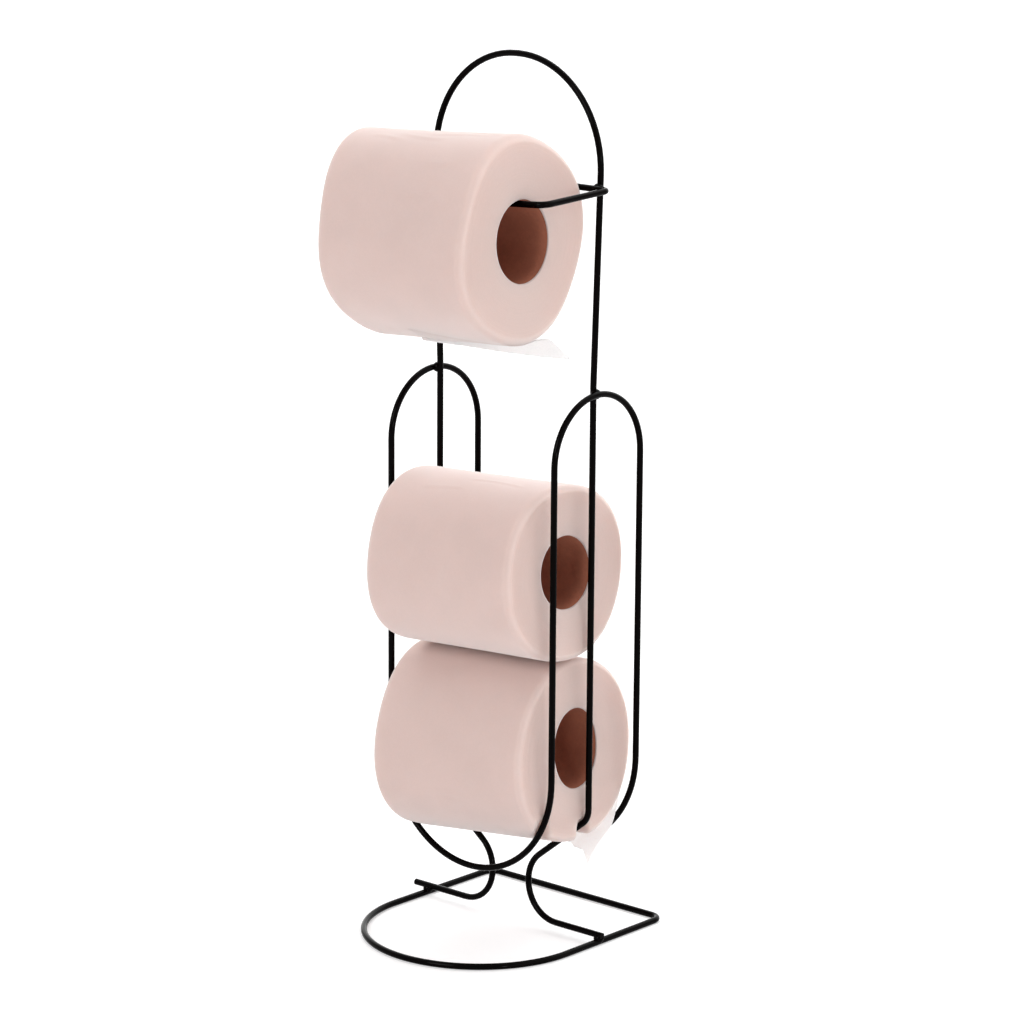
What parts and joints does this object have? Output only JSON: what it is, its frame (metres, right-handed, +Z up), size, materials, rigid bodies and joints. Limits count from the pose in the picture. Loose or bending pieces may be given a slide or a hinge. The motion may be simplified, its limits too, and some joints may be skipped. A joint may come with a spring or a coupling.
{
  "type": "toilet roll storage holder",
  "caption": "Free-standing bent-wire holder for toilet paper: one roll hangs on a side arm, and spare rolls lie in a looped wire cradle above a ring base.",
  "frame": {"origin": "on the floor, midway between the two legs", "axes": "+Z up; +X along the rolls, towards the side on which the arm turns forward; -Y to the front, the side of the ring's round end"},
  "size_m": [0.1438, 0.1721, 0.492],
  "materials": {
    "black_wire": "gloss black enamel on steel wire",
    "cardboard": "raw brown cardboard tube",
    "tissue": "soft embossed tissue paper, off-white with a pink cast"
  },
  "bodies": {
    "frame": {"main_frame": "black_wire", "cradle_loop": "black_wire", "base_ring": "black_wire", "roll_arm": "black_wire", "arm_welds": "black_wire", "cradle_welds": "black_wire", "foot_welds": "black_wire"},
    "hanging_end": {"top_loose_end": "tissue"},
    "top_roll": {"top_roll_core": "cardboard", "top_roll_paper": "tissue"},
    "bottom_roll": {"bottom_roll_core": "cardboard", "bottom_roll_paper": "tissue", "bottom_loose_end": "tissue"},
    "middle_roll": {"middle_roll_core": "cardboard", "middle_roll_paper": "tissue"}
  },
  "joints": [
    {"name": "top_roll_slide", "type": "slide", "parent": "frame", "child": "hanging_end", "axis": [-0.9979, -0.0453, -0.0454], "range_m": [0, 0.13]},
    {"name": "top_roll_spin", "type": "hinge", "parent": "hanging_end", "child": "top_roll", "pos_m": [0.00453, -0.05848, 0.39749], "axis": [0.9979, 0.0453, 0.0454], "continuous": true},
    {"name": "bottom_roll_lift", "type": "slide", "parent": "frame", "child": "bottom_roll", "axis": [0, 0, 1], "range_m": [0, 0.06]},
    {"name": "middle_roll_pull", "type": "slide", "parent": "bottom_roll", "child": "middle_roll", "axis": [0, -1, 0], "range_m": [0, 0.17]}
  ]
}
